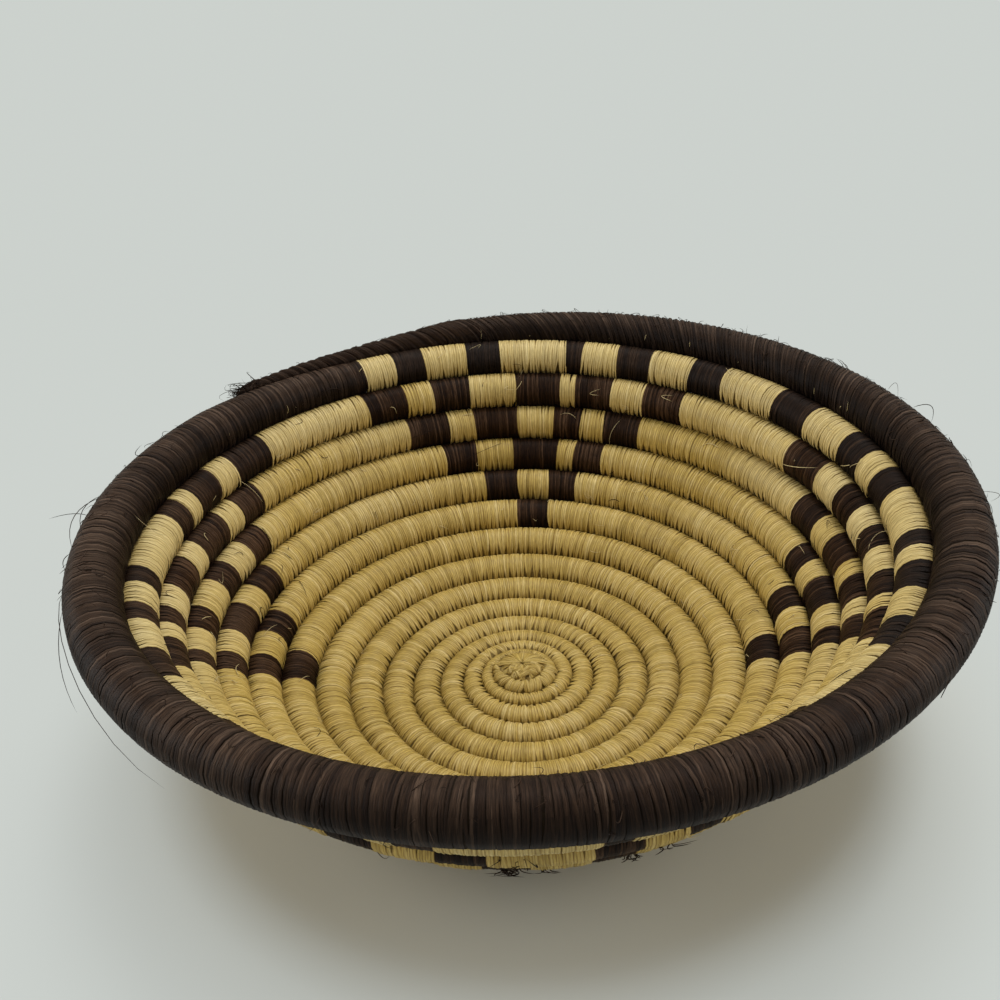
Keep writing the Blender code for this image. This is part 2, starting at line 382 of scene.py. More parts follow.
def finishPiece(mesh, name, finish, nodes=(), sharp=None):
    mesh.materials.clear()
    mesh.materials.append(materials[finish])
    mesh.shade_smooth()
    if sharp:
        mesh.set_sharp_from_angle(angle=math.radians(sharp))
    piece = addObject(name, mesh)
    if nodes:
        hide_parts(*nodes)
    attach(piece, "root")


# Near its end the rim gets slimmer, and lies closer to the turn that it goes round
rimThinning = {
    "steps": [672, 676, 680, 683, 685, 687, 689, 690, 690.3, 690.5],
    "shares": [1.0, 0.96, 0.9, 0.8, 0.70, 0.68, 0.76, 0.84, 0.7, 0.3],
    "closer": 0.0009,
    "closerFrom": 682.0,
    "closerSteps": 5.0,
}


def visualHalf(step):
    return halfWidth(step) * np.interp(step, rimThinning["steps"], rimThinning["shares"])


def slimmed(step):
    share = np.clip((step - rimThinning["closerFrom"]) / rimThinning["closerSteps"], 0.0, 1.0)
    return coilDistance(step) - (halfWidth(step) - visualHalf(step)) - rimThinning["closer"] * share


# The stitches. A bundle of strands lies side by side over the turn's crown and draws together on its inner
# side, where the stitch goes down through the turn before it.
stitches = {
    "firstAt": 0.0004,  # where the first strand starts, in metres along the coil
    "pitch": 0.00068,  # from strand to strand over the crown
    "pitchSpread": 0.35,
    "overlap": 1.38,  # width of a strand against the pitch
    # how many strands are drawn together, drawn by lot, up to which step
    "bundles": [(48.0, [2, 3, 3]), (282.4, [2, 3, 3, 4]), (668.0, [1, 2, 2, 3, 3, 4]),
                (math.inf, [3, 4, 4])],
    "tip": 0.0008,  # how far it reaches over the turn before
    "slack": 0.012,  # share of bundles with a gap after them
    "gap": (0.0001, 0.0004),
    # how single strands vary, how they vary together, and over how many strands that changes
    "tilt": (0.016, 0.055, 7),
    "tone": (0.2, 0.1, 30),
    "lean": (0.02, 0.05, 11),  # from the coil's outer side to its inner one
    "knotLean": (0.12, 0.2, 5),
    "knotTurns": 1.5,  # turns round the knot that are laid less evenly
    "rimTilt": 0.035,
    "rimTone": 0.08,
    "tightness": 0.00030,  # how far the brown stitches lie below the natural ones
    "shoulder": 0.0008,  # and how fast the natural ones slope down to them
    "sides": 16,
    # for each finish: how far a bundle draws together, how far pairs part on the outer side, how far a
    # strand's edges lie below its middle, and its rise and fall
    "relief": {"natural": (0.85, 0.6, 0.00011, 0.00009), "brown": (0.6, 0.6, 0.00010, 0.00008),
               "rim": (0.45, 0.0, 0.00009, 0.00004)},
    # how much narrower a strand gets on the coil's inner and outer side, and where pairs part
    "narrower": (0.3, 0.15, 0.33),
    "outerGather": 0.35,
    "pairGather": 0.6,
    "thinTurn": 0.004,  # half width of a turn under which a strand's relief is less
    # the rim's last stretch is laid like a rope: where that starts, and how far the strands lean and rise
    "ropeStart": 668,
    "ropeLean": 1.0,
    "ropeRise": 14.0,
}


def strandRing():
    bm = bmesh.new()
    corners = [bm.verts.new(point) for point in ((0.9, -0.5, 0.0), (1.0, 0.0, 0.0), (0.9, 0.5, 0.0))]
    edges = [bm.edges.new((corners[i], corners[(i + 1) % 3])) for i in range(3)]
    bmesh.ops.spin(bm, geom=corners + edges, cent=(0, 0, 0), axis=(0, 1, 0), angle=2.0 * math.pi,
                   steps=stitches["sides"], use_merge=True)
    bmesh.ops.recalc_face_normals(bm, faces=bm.faces)
    return meshFrom(bm, "strandRing")


ringMesh = strandRing()
ringPoints, ringCorners = pointsOf(ringMesh), cornersOf(ringMesh)
ringAngle = np.arctan2(ringPoints[:, 2], ringPoints[:, 0]) % (2.0 * math.pi)
ringUv = np.stack([ringPoints[ringCorners, 1] + 0.5, ringAngle[ringCorners] / (2.0 * math.pi)], axis=-1)
for face in ringMesh.polygons:
    loops = list(face.loop_indices)
    if ringUv[loops, 1].max() - ringUv[loops, 1].min() > 0.5:
        ringUv[loops, 1] += ringUv[loops, 1] < 0.5


def drift(count, every, size):
    # slow change from strand to strand
    knots = np.arange(0, count + every, every)
    return np.interp(np.arange(count), knots, normal(0.0, size, len(knots)))


def vary(count, name, middle=0.0):
    single, together, every = stitches[name]
    return normal(middle, single, count) + drift(count, every, together)


def dealStrands():
    # every strand from the knot to the tail's end: its step, and how far it lies from its bundle's middle
    dealt, at, end = [], stitches["firstAt"], np.interp(tailEnd + 0.4, fineSteps, fineLength)
    while at < end:
        step = np.interp(at, fineLength, fineSteps)
        count = int(rng.choice(next(lots for until, lots in stitches["bundles"] if step < until)))
        uneven = stitches["pitchSpread"] * uniform(-1.0, 1.0, count)
        pitches = stitches["pitch"] * (1.0 + uneven)
        middles = at + np.cumsum(pitches) - pitches / 2.0
        offsets = middles.mean() - middles
        first = np.arange(count) // 2 * 2
        last = np.minimum(first + 1, count - 1)
        dealt.append([np.interp(middles, fineLength, fineSteps), offsets,
                      (middles[first] + middles[last]) / 2.0 - middles, pitches * stitches["overlap"],
                      1.0 - np.abs(offsets) / pitches.sum() * 2.0 - 0.5])
        at += pitches.sum() + (uniform(*stitches["gap"]) if rng.random() < stitches["slack"] else 0.0)
    steps, offsets, pairs, widths, rises = np.hstack(dealt)
    count = len(steps)
    tilt, tone = vary(count, "tilt"), vary(count, "tone", toneMiddle)
    inRim = steps > rimStart
    tilt[inRim] += normal(0.0, stitches["rimTilt"], inRim.sum())
    tone[inRim] += normal(0.0, stitches["rimTone"], inRim.sum())
    roped = np.clip((steps - stitches["ropeStart"]) / (tailStart - stitches["ropeStart"]), 0.0, 1.0)
    lift = uniform(-1.0, 1.0, count) + roped * stitches["ropeRise"] * rises
    lean = vary(count, "lean") + roped * stitches["ropeLean"]
    lean += np.where(steps < stitches["knotTurns"] * turnSteps, vary(count, "knotLean"), 0.0)
    return {"step": steps, "offset": offsets, "pair": pairs, "width": widths, "tilt": tilt, "lean": lean,
            "lift": lift, "tip": stitches["tip"] * uniform(0.3, 1.3, count),
            "comb": uniform(0.1, 1.2, count), "gather": uniform(0.4, 1.4, count),
            "tone": np.clip(tone, 0.0, 1.0), "hue": np.zeros(count)}


strands = dealStrands()
print(len(strands["step"]), "strands dealt")

# The pattern, read off the bowl: where each row's brown blocks start and end, one after the other, in steps
# from the middle of the motif. The triangles' sides step out by a block in each row.
motifs = {
    "left": [
        (0.15, 1.65),
        (-1.05, 0.0, 1.1, 2.0),
        (-2.2, -1.2, -0.35, 0.9, 1.7, 2.5),
        (-2.85, -2.05, -1.1, -0.25, 0.85, 1.7, 2.55, 3.0),
        (-3.45, -2.6, -1.9, -0.65, 0.0, 1.1, 1.9, 2.5, 3.05, 4.1),
        (-4.4, -3.15, -2.45, -1.55, -1.1, -0.45, 1.5, 2.1, 2.75, 3.4, 4.4, 5.4),
    ],
    "front": [
        (-0.6, 0.5),
        (-1.6, -0.6, 0.4, 1.4),
        (-2.5, -1.5, -0.6, 0.4, 1.5, 2.4),
        (-3.3, -2.4, -1.25, -0.35, 1.45, 2.3, 3.1, 3.7),
        (-4.3, -3.3, -2.9, -2.25, -1.8, -1.05, 1.5, 1.95, 3.0, 3.9),
        (-5.0, -4.1, -3.6, -2.9, -2.1, -1.14, 1.15, 1.9, 2.8, 3.5, 4.1, 5.0),
    ],
    "right": [
        (-1.25, -0.15),
        (-1.75, -0.65, 0.2, 1.15),
        (-2.2, -1.55, -0.65, 0.4, 1.15, 1.95),
        (-2.85, -2.05, -1.45, -0.55, 0.0, 1.05, 1.75, 2.85),
        (-3.85, -2.8, -2.35, -1.6, -0.7, 0.05, 0.8, 1.7, 2.6, 3.9),
        (-4.9, -4.05, -3.1, -2.25, -1.75, -1.25, 0.25, 1.0, 1.7, 2.5, 3.8, 4.95),
    ],
    "back": [
        (-0.9, 0.3),
        (-1.75, -0.8, 0.2, 1.35),
        (-2.5, -1.6, -1.05, 0.3, 1.5, 2.5),
        (-3.45, -2.35, -1.7, -0.95, 0.15, 1.45, 2.25, 3.4),
        (-4.55, -3.4, -2.5, -1.5, -1.05, 0.2, 1.45, 2.5, 3.25, 4.45),
        (-5.5, -4.55, -3.45, -2.55, -1.6, -1.15, 0.6, 1.45, 2.6, 3.35, 4.2, 6.0),
    ],
}
motifSteps = turnSteps // len(motifs)
motifMiddle = 6.5  # where a motif's middle lies in its quarter of a turn
dye = {
    # for each side: how much paler its brown blocks are, and how black the sixth row is
    "sides": {"left": (0.18, 0.25), "front": (-0.02, 0.3), "right": (-0.25, 0.45), "back": (-0.04, 0.6)},
    "contrast": 1.8,  # how much the dyed strands differ, against the natural ones
    "blackLots": [0.0, 0.1, 0.2],
}
# Painted light: the natural rows get paler towards the rim, at the bowl's left and right first and the top row
# all round
paintedPaling = {"most": 0.95, "limit": 0.85, "least": 0.1, "topRow": 0.45, "topFrom": 0.6, "topOver": 0.25,
          "drift": 0.08, "below": 0.04}


def rowOf(step):
    return int((step - patternStart) // turnSteps)


def blockAt(step, margin=0.0):
    # the side, row and number of the brown block that covers a step, if one does
    if step < patternStart or step >= rimStart:
        return None
    row, quarter = rowOf(step), int((step - patternStart) % turnSteps // motifSteps)
    side = list(motifs)[quarter]
    fromMiddle = step - (patternStart + row * turnSteps + quarter * motifSteps + motifMiddle)
    ends = motifs[side][row]
    for index, (start, end) in enumerate(zip(ends[::2], ends[1::2])):
        if start - margin <= fromMiddle < end + margin:
            return side, row + 1, index
    return None


def pieceOf(step, block):
    # the piece that a strand belongs to, its finish and the node that the piece stands for
    if step >= tailStart:
        return "rimTail", "rim", ("rim_tail",)
    if step >= rimStart:
        return "rimStrands", "rim", ("rim_wrapping",)
    if step < coil["baseEnd"]:
        return "baseStrands", "natural", ("base_wrapping",)
    if step < patternStart:
        half = "Inner" if step < (coil["baseEnd"] + patternStart) / 2 else "Outer"
        return "bellyStrands" + half, "natural", ("belly_wrapping",)
    if block:
        return f"{block[0]}BlocksRow{block[1]}", "brown", (f"brown_strand_{block[0]}_row_{block[1]}",)
    row = rowOf(step) + 1
    return f"naturalStrandsRow{row}", "natural", (f"natural_wrapping_row_{row}",)


def sortStrands():
    # the strands of each piece, with the dye's tones and the natural rows' painted light, paler towards the
    # rim
    pieces, blockHue = {}, {}
    paleness = drift(len(strands["step"]), 40, paintedPaling["drift"]) - paintedPaling["below"]
    for index, step in enumerate(strands["step"]):
        block = blockAt(step)
        if block:
            paler, black = dye["sides"][block[0]]
            if block not in blockHue:
                blockHue[block] = (black if block[1] == 6 else 0.0) + rng.choice(dye["blackLots"])
            strands["hue"][index] = blockHue[block]
            differs = (dye["contrast"] - 1.0) * (strands["tone"][index] - toneMiddle)
            strands["tone"][index] += paler + differs
        elif patternStart <= step < rimStart:
            # painted light: natural strands turn paler towards the rim, and more so at the bowl's left and
            # right
            share = (step - patternStart) / 6.0 / turnSteps
            aside = paintedPaling["least"] + (1.0 - paintedPaling["least"]) * math.cos((step + 0.5) * stepAngle) ** 4
            top = min(max((share - paintedPaling["topFrom"]) / paintedPaling["topOver"], 0.0), 1.0)
            aside += (paintedPaling["topRow"] - aside) * top
            pale = paintedPaling["most"] * share ** 2 * aside + paleness[index]
            strands["hue"][index] = np.clip(pale, 0.0, paintedPaling["limit"])
        pieces.setdefault(pieceOf(step, block), []).append(index)
    return pieces


def tightenBlocks():
    # how far each strand is pulled in: the brown ones all alike, the natural ones next to them
    brown = np.array([bool(blockAt(step)) for step in strands["step"]])
    along = np.interp(strands["step"], fineSteps, fineLength)
    last = np.flatnonzero(brown[1:] != brown[:-1])
    edges = (along[last] + along[last + 1]) / 2.0
    after = np.clip(np.searchsorted(edges, along), 1, len(edges) - 1)
    near = np.minimum(np.abs(along - edges[after - 1]), np.abs(along - edges[after]))
    strands["tight"] = stitches["tightness"] * np.where(brown, 1.0, np.exp(-near / stitches["shoulder"]))


def bendStrands(chosen, finish):
    # each ring's points, bent round the coil at its strand's place
    gather, comb, sink, lift = stitches["relief"][finish]
    strand = {name: values[chosen][:, None] for name, values in strands.items()}
    cosine, sine = np.cos(ringAngle)[None], np.sin(ringAngle)[None]
    along = ringPoints[None, :, 1]
    inner = np.maximum(-cosine, 0.0) ** 3
    outer = np.maximum(cosine, 0.0) ** 3
    parted = np.clip((cosine - 0.75 + 0.4 * strand["comb"]) / 0.35, 0.0, 1.0)
    parted = parted * strand["comb"] * comb
    half = visualHalf(strand["step"])
    fineness = np.minimum(half / stitches["thinTurn"], 1.0)
    atInner, atOuter, atParted = stitches["narrower"]
    width = 1.0 - atInner * inner - atOuter * outer - atParted * parted
    shift = along * strand["width"] * width
    shift = shift + strand["pair"] * parted * stitches["pairGather"] * strand["gather"]
    drawn = inner + stitches["outerGather"] * outer
    shift = shift + strand["offset"] * strand["gather"] * gather * drawn
    shift = shift + strand["tilt"] * sine * half + strand["lean"] * cosine * half
    step = np.clip(strand["step"] + stepsLong(shift, strand["step"]), 0.0, tailEnd + 0.5)
    half = visualHalf(step)
    sunk = (np.abs(along) > 0.25) * sink - strand["lift"] * lift + strand["tight"] * sine ** 2
    across = cosine * (half + coil["rowGap"] / 2.0 - sunk * fineness) - strand["tip"] * inner ** 2 * fineness
    raised = sine * (coil["flatShare"] * half - sunk * fineness)
    return place(step, across, raised, slimmed(step))


def layStrands(name, finish, nodes, chosen):
    mesh = repeatMesh(ringMesh, len(chosen), name)
    chosen = np.array(chosen)
    dressCopies(mesh, bendStrands(chosen, finish), ringUv, strands["tone"][chosen], strands["hue"][chosen])
    finishPiece(mesh, name, finish, nodes, sharp=100)


tightenBlocks()
for (name, finish, nodes), chosen in sortStrands().items():
    layStrands(name, finish, nodes, chosen)
print("stitches laid")


# The grass inside, which shows dark between the strands
bundle = {
    "share": 0.94,  # its width against the coil's, and that where the strands are tight
    "tightShare": 0.88,
    "rimShare": 1.03,
    "reach": 0.13,  # how far it fills the seams
    "closing": 0.00027,  # and how far it does between the thin turns round the knot
    "sides": 16,
    "perStep": 4,
    "firstStep": 0.3,
    "dyedMargin": 0.12,  # how far past a brown block it is dark
    "paintedSeamShade": (0.35, 0.5),  # painted shade in a turn's outer and inner seam
}


def layBundle():
    bm = bmesh.new()
    long = (tailEnd - 1) * bundle["perStep"]
    bmesh.ops.create_grid(bm, x_segments=long, y_segments=bundle["sides"], size=0.5)
    mesh = meshFrom(bm, "grassBundle")
    flat = pointsOf(mesh)
    step = bundle["firstStep"] + (flat[:, 0] + 0.5) * (tailEnd - 0.05)
    angle = -(flat[:, 1] + 0.5) * 2.0 * math.pi
    cosine, half = np.cos(angle), visualHalf(step)
    dyed = {at: float(at > rimStart - 0.3 or bool(blockAt(at, bundle["dyedMargin"])))
            for at in np.unique(step)}
    dyed = np.array([dyed[at] for at in step])
    share = np.where((dyed > 0.0) & (step < rimStart), bundle["tightShare"], bundle["share"])
    reach = np.maximum(bundle["reach"], 1.0 + bundle["closing"] / half - share)
    reach = np.where((cosine > 0.0) & (step > tailEnd - turnSteps - 2), 0.0, reach)
    full = np.where(step > rimStart, bundle["rimShare"], 1.0)
    across = half * cosine * (share + reach * cosine ** 8) * full
    raised = coil["flatShare"] * share * half * np.sin(angle) * full
    mesh.vertices.foreach_set("co", place(step, across, raised, slimmed(step)).ravel())
    # the bundle is darker under dyed strands, and painted shade darkens it down in the seams
    deep = np.where(cosine > 0.0, *bundle["paintedSeamShade"]) * np.abs(cosine) ** 3
    setValues(mesh, "bundleDyeAndShade", np.maximum(dyed, deep))
    bm = bmesh.new()
    bm.from_mesh(mesh)
    bmesh.ops.remove_doubles(bm, verts=bm.verts, dist=mergeWithin)
    bmesh.ops.holes_fill(bm, edges=bm.edges, sides=0)
    bmesh.ops.recalc_face_normals(bm, faces=bm.faces)
    bm.to_mesh(mesh)
    bm.free()
    finishPiece(mesh, "grassBundle", "grass", ("grass_core",))


layBundle()
print("grass bundle laid")

# Single fibres: a small ball drawn out along a path of ten points
pathPoints = 10
overCoil = 0.01  # how far over the coil the place lies that tells a fibre which way is up
run = np.linspace(0.0, 1.0, pathPoints)
ballRings = pathPoints - 1
taper = {"strip": np.array([0.0, 0.72, 0.92, 1.0, 1.0, 1.0, 1.0, 0.92, 0.72, 0.0]),
         "hair": np.array([0.0, 0.9, 1.0, 1.0, 1.0, 0.95, 0.85, 0.7, 0.5, 0.0])}


def fibreBall():
    bm = bmesh.new()
    bmesh.ops.create_uvsphere(bm, u_segments=5, v_segments=ballRings, radius=1.0)
    return meshFrom(bm, "fibreBall")


ballMesh = fibreBall()
ballPoints, ballCorners = pointsOf(ballMesh), cornersOf(ballMesh)
ballFall = np.arccos(np.clip(ballPoints[:, 2], -1.0, 1.0)) / math.pi
ballRing = np.rint(float(ballRings) - ballFall * ballRings).astype(int)
ballTurn = np.arctan2(ballPoints[:, 1], ballPoints[:, 0])
# v stays where the painted shade round the coil is palest
ballAcross = (np.cos(ballTurn[ballCorners]) + 1.0) / 2.0
ballUv = np.stack([ballAcross, 0.11 + 0.024 * ballRing[ballCorners]], axis=-1)


def unit(vectors):
    return vectors / np.linalg.norm(vectors, axis=-1, keepdims=True)


def layFibres(name, finish, laid, widths, shape, flat=1.0, hue=0.0, tones=(0.1, 0.9)):
    # laid holds each fibre's path, and which way is up for it
    mesh = repeatMesh(ballMesh, len(laid), name)
    paths, ups = np.array([path for path, up in laid]), np.array([up for path, up in laid])
    ahead = np.gradient(paths, axis=1)
    side = unit(np.cross(ups, ahead))
    above = unit(np.cross(ahead, side))
    size = (np.array(widths)[:, None] * taper[shape])[:, ballRing, None]
    points = paths[:, ballRing] + size * np.cos(ballTurn)[:, None] * side[:, ballRing]
    points += size * flat * np.sin(ballTurn)[:, None] * above[:, ballRing]
    points[..., 2] = np.maximum(points[..., 2], 0.0)
    dressCopies(mesh, points, ballUv, uniform(*tones, len(laid)), np.full(len(laid), hue))
    finishPiece(mesh, name, finish)


def coilPlace(step, angle, across, raised):
    return place(step, np.cos(angle) * across, np.sin(angle) * raised, slimmed(step))


def coilFibre(places):
    # a path through places on the coil: step, angle round it in degrees, millimetres over the strands
    step, angle, height = np.reshape(places, (-1, 3)).astype(float).T
    angle, height = np.radians(angle), height / 1000.0
    half = visualHalf(step)
    points = coilPlace(step, angle, half + height, coil["flatShare"] * half + height)
    over = coilPlace(step, angle, half + overCoil, half + overCoil) - points
    along = np.linspace(0.0, 1.0, len(points))
    smooth = [np.polyfit(along, values, min(len(points) - 1, 3)) for values in (*points.T, *over.T)]
    smooth = np.stack([np.polyval(curve, run) for curve in smooth], axis=-1)
    return smooth[:, :3], smooth[:, 3:]


def wrapFibre(step, angles, lean, height):
    # a path wound over the coil askew, from one angle round it to the other, highest in its middle
    angle = np.radians(np.linspace(*angles, pathPoints))
    half = visualHalf(step)
    hump = half + height * np.sin(np.linspace(0.0, math.pi, pathPoints)) ** 0.5
    step = step + stepsLong(lean * np.cos(angle) * half, step)
    path = place(step, np.cos(angle) * hump, np.sin(angle) * coil["flatShare"] * hump, slimmed(step))
    return path, coilPlace(step, angle, half + overCoil, half + overCoil) - path


# The knot in the middle of the base: strips drawn to its centre, over the whole of its far side and the
# inner half of its near side, and a ring of wrapped grass round the rest
knot = {
    "height": 0.0030,
    "middle": 0.0019,  # height where the strips end and the ring starts
    "edge": 0.0012,  # height at the far side's edge
    "ring": 0.0022,  # height of the ring's crown
    "ringFoot": 0.0008,
    "ringShare": 0.5,  # how much of the radius the ring takes
    "ringTurns": [0.0, 0.25, 0.8, 1.0],  # how that grows along the ring
    "ringGrowth": [0.45, 0.95, 1.0, 0.9],
    "ringFrom": 160.0,  # where it starts, in degrees, and how far it goes round
    "ringLong": 228.0,
    "ringBundles": 18,
    "backStrips": 90,
    "frontBundles": 12,
    "crossings": 17,
    "stripWidth": 0.00030,
    "radius": 0.0095,  # measure for the lengths of the plaited bundles
    "plaited": (-0.00045, -0.00015, 0.00015, 0.00045),  # strips in each of them
    "underStrips": 96,
    "underWidth": 0.00034,
    # the low dome under the strips: share of the radius, and height
    "dome": [(0.0, 0.0027), (0.25, 0.0025), (0.5, 0.0019), (0.6, 0.0016), (0.76, 0.0018), (0.9, 0.0011),
             (0.98, 0.0002), (0.97, -0.0012), (0.0, -0.0016)],
    "domeSize": 0.01,  # its radius before it is fitted to the first turn
    # painted shade: how dark the dome under the strips is, where it shows between them
    "domeShade": 0.12,
}


def knotEdge(angle):
    # distance from the axis to the inner side of the first turn, closed where the turn starts
    at = np.asarray(angle, dtype=float) / (2.0 * math.pi) % 1.0 * turnSteps
    step = np.where(at - 0.5 < 2.5, at - 0.5 + turnSteps, at - 0.5)
    edge = coilDistance(step) - halfWidth(step)
    first = coilDistance(2.5) - halfWidth(2.5)
    return np.where(at < 3.0, edge + (first - edge) * (at / 3.0), edge)


def knotPoint(angle, share, raised):
    values = [np.asarray(value, dtype=float) for value in (angle, share, raised)]
    angle, share, raised = np.broadcast_arrays(*values)
    return place(angle / stepAngle - 0.5, 0.0 * share, raised, share * knotEdge(angle))


def ringWidth(angle):
    # share of the radius that the ring takes, from the thin start of it on
    turned = (math.degrees(angle) - knot["ringFrom"]) / knot["ringLong"]
    return knot["ringShare"] * float(np.interp(turned, knot["ringTurns"], knot["ringGrowth"]))


def domeHeight(share):
    # the strips' height inside the ring
    return knot["height"] - (knot["height"] - knot["middle"]) * (np.minimum(share, 1.0) / 0.6) ** 2


def layKnotDome():
    bm = bmesh.new()
    profile = [bm.verts.new((knot["domeSize"] * share, 0.0, height)) for share, height in knot["dome"]]
    edges = [bm.edges.new(pair) for pair in zip(profile[:-1], profile[1:])]
    bmesh.ops.spin(bm, geom=profile + edges, cent=(0, 0, 0), axis=(0, 0, 1), angle=2.0 * math.pi,
                   steps=turnSteps, use_merge=True)
    bmesh.ops.remove_doubles(bm, verts=bm.verts, dist=mergeWithin)
    for vertex in bm.verts:
        turned = math.atan2(vertex.co.y, vertex.co.x) % (2.0 * math.pi)
        vertex.co = knotPoint(turned, math.hypot(vertex.co.x, vertex.co.y) / knot["domeSize"], vertex.co.z)
    bmesh.ops.recalc_face_normals(bm, faces=bm.faces)
    mesh = meshFrom(bm, "knotDome")
    setValues(mesh, "bundleDyeAndShade", np.full(len(mesh.vertices), knot["domeShade"]))
    finishPiece(mesh, "knotDome", "grass", ("start_knot",))


# Each of these gives the paths of strips and their widths, against the usual one

def farStrips():
    # over the far side, out to the first turn
    for index in range(knot["backStrips"]):
        angle = math.radians(8.0 + 164.0 * (index + uniform(-0.4, 0.4)) / knot["backStrips"])
        near = uniform(0.0, 0.2)
        share = near + (uniform(0.97, 1.04) - near) * run
        turned = angle + 0.12 * (1.0 - run) + normal(0.0, 0.05) * run
        raised = knot["height"] - (knot["height"] - knot["edge"]) * share ** 2.2
        yield knotPoint(turned, share, raised + uniform(-0.0002, 0.0001)), uniform(0.8, 1.25)


def nearStrips():
    # in bundles over the near side, out to the ring
    for index in range(knot["frontBundles"]):
        middle = math.radians(172.0 + 196.0 * (index + 0.5 + uniform(-0.2, 0.2)) / knot["frontBundles"])
        far, shift = 1.08 - ringWidth(middle) + uniform(-0.06, 0.06), normal(0.0, 0.22)
        for side in np.arange(7) - 3.0:
            near = uniform(0.0, 0.12)
            share = near + (far - near) * run
            turned = middle + side * (0.014 + 0.030 * run) + shift * run
            raised = domeHeight(share) + 0.0003 * np.sin(run * math.pi) - 0.00010 * abs(side)
            yield knotPoint(turned, share, raised), uniform(0.8, 1.1)


def plaitedStrips():
    # short bundles plaited over the near ones, leaning one way and the other
    for index in range(knot["crossings"]):
        middle = math.radians(188.0 + 184.0 * (index + 0.5 + uniform(-0.25, 0.25)) / knot["crossings"])
        share, lean = uniform(0.24, 0.46), (0.75 if index % 2 else -0.75) + normal(0.0, 0.25)
        radius, long = share * knot["radius"], uniform(0.0026, 0.0036)
        for offset in knot["plaited"]:
            sideways = (run - 0.5) * long * math.sin(lean) + offset * math.cos(lean)
            outward = (run - 0.5) * long * math.cos(lean) - offset * math.sin(lean)
            shares = np.clip(share + outward / knot["radius"], 0.05, 0.72)
            raised = domeHeight(shares) + 0.00055 * np.sin(run * math.pi) - 0.3 * abs(offset)
            yield knotPoint(middle + sideways / radius, shares, raised), uniform(0.8, 1.1)


def ringStrips():
    # the ring's wrapping, which draws together on its outer side as on the turns
    for index in range(knot["ringBundles"]):
        middle = math.radians(knot["ringFrom"] + knot["ringLong"] * (index + 0.5) / knot["ringBundles"])
        wide = ringWidth(middle)
        lean, lift = (0.22 if index % 3 else 0.02) + normal(0.0, 0.04), uniform(-0.0001, 0.0003)
        count = int(rng.integers(5, 7))
        for strip in range(count):
            side = (strip - (count - 1) / 2.0) / count
            turned = middle + side * 0.25 * (1.0 - 0.36 * (2.0 * run - 1.0) ** 2)
            turned = turned + lean * (0.5 - run) + normal(0.0, 0.008)
            hump = (knot["ring"] - knot["ringFoot"]) * np.sin((0.14 + 0.72 * run) * math.pi) ** 0.8
            hump = knot["ringFoot"] + hump - 0.0010 * run ** 4
            path = knotPoint(turned, 1.03 - wide + wide * run, hump + lift - 0.0010 * side * side)
            yield path, uniform(0.85, 1.15)


def underStrips():
    # drawn in to the knot's middle from below, every other one short of it
    for index in range(knot["underStrips"]):
        angle = 2.0 * math.pi * (index + uniform(-0.4, 0.4)) / knot["underStrips"]
        near = uniform(0.0, 0.08) if index % 2 else uniform(0.3, 0.42)
        share = near + (1.0 - near) * run
        turned = angle + normal(0.0, 0.05) * run
        raised = -0.0020 + 0.0007 * share ** 2 + uniform(-0.0001, 0.0001)
        yield knotPoint(turned, share, raised), uniform(0.8, 1.2)


def layKnotStrips(name, kinds, width, up):
    strips = [strip for kind in kinds for strip in kind()]
    ups = np.zeros((pathPoints, 3))
    ups[:, 2] = up
    widths = [width * share for path, share in strips]
    laid = [(path, ups) for path, share in strips]
    layFibres(name, "natural", laid, widths, "strip", flat=0.6, tones=(0.15, 0.85))


layKnotDome()
layKnotStrips("knotStrips", (farStrips, nearStrips, plaitedStrips, ringStrips), knot["stripWidth"], 1.0)
print("knot laid")

